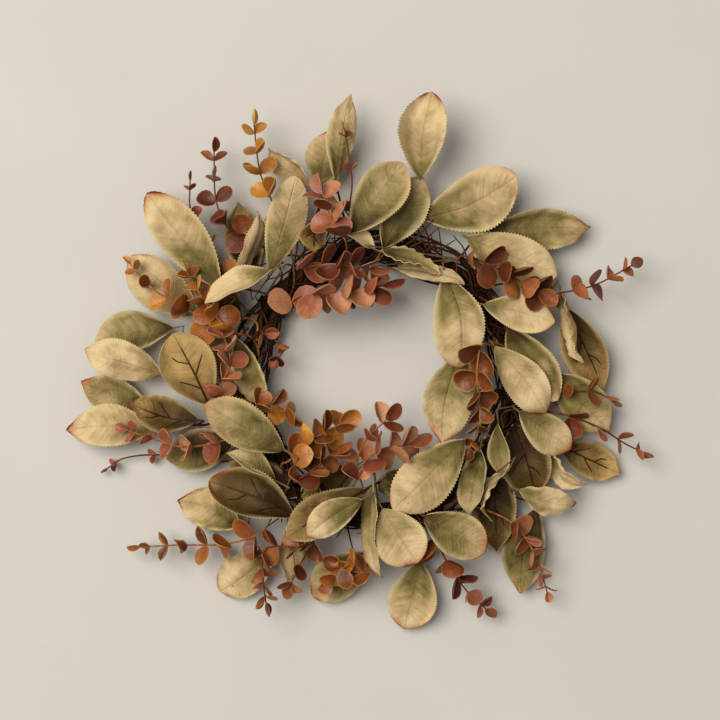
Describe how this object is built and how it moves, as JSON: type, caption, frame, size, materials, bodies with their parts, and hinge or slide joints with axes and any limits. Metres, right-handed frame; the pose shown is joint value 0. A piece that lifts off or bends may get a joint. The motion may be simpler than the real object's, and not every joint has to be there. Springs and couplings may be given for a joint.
{
  "type": "eucalyptus wreath",
  "caption": "Round wreath of serrated sage leaves and rust-red and orange round-leaved sprigs, bound to a ring of twisted dark vines, lying on its back.",
  "frame": {"origin": "The middle of the wreath's box, on the table that it lies on.", "axes": "+Z points up, out of the wreath's front. +X is to the right and +Y is up as the wreath is seen from the front."},
  "size_m": [0.3772, 0.3434, 0.0551],
  "materials": {
    "vine_bark": "rough bark",
    "stem_tape": "wound tape, slightly glossy",
    "sage_leaf": "matte, greyish green with tan and red tips",
    "leaf_burgundy": "matte",
    "leaf_rust": "matte",
    "leaf_pink": "matte",
    "leaf_orange": "matte",
    "leaf_mustard": "matte"
  },
  "bodies": {
    "root": {"vine_1": "vine_bark", "vine_2": "vine_bark", "vine_3": "vine_bark", "tie_1": "stem_tape", "tie_2": "stem_tape", "tie_3": "stem_tape", "tie_4": "stem_tape", "tie_5": "stem_tape", "tie_6": "stem_tape", "sage_spray_01": "sage_leaf", "sage_spray_02": "sage_leaf", "sage_spray_03": "sage_leaf", "sage_spray_04": "sage_leaf", "sage_spray_05": "sage_leaf", "sage_spray_06": "sage_leaf", "sage_spray_07": "sage_leaf", "sage_spray_08": "sage_leaf", "sage_spray_09": "sage_leaf", "sage_spray_10": "sage_leaf", "sage_spray_11": "sage_leaf", "sage_spray_12": "sage_leaf", "sage_spray_13": "sage_leaf", "sage_spray_14": "sage_leaf", "sage_spray_15": "sage_leaf", "sage_spray_16": "sage_leaf", "rust_sprig_01": "leaf_burgundy", "rust_sprig_02": "leaf_rust", "rust_sprig_03": "leaf_mustard", "rust_sprig_04": "leaf_orange", "rust_sprig_05": "leaf_orange", "rust_sprig_06": "leaf_pink", "rust_sprig_07": "leaf_pink", "rust_sprig_08": "leaf_burgundy", "rust_sprig_09": "leaf_pink", "rust_sprig_10": "leaf_burgundy", "rust_sprig_11": "leaf_rust", "rust_sprig_12": "leaf_burgundy", "rust_sprig_13": "leaf_orange", "rust_sprig_14": "leaf_orange", "rust_sprig_15": "leaf_rust", "rust_sprig_16": "leaf_pink", "rust_sprig_17": "leaf_pink", "rust_sprig_18": "leaf_pink", "rust_sprig_19": "leaf_burgundy", "rust_sprig_20": "leaf_pink", "rust_sprig_21": "leaf_orange", "rust_sprig_22": "leaf_orange", "rust_sprig_23": "leaf_rust", "rust_sprig_24": "leaf_rust", "rust_sprig_25": "leaf_orange", "rust_sprig_26": "leaf_rust", "rust_sprig_27": "leaf_pink", "rust_sprig_28": "leaf_burgundy", "rust_sprig_29": "leaf_rust"}
  },
  "joints": []
}
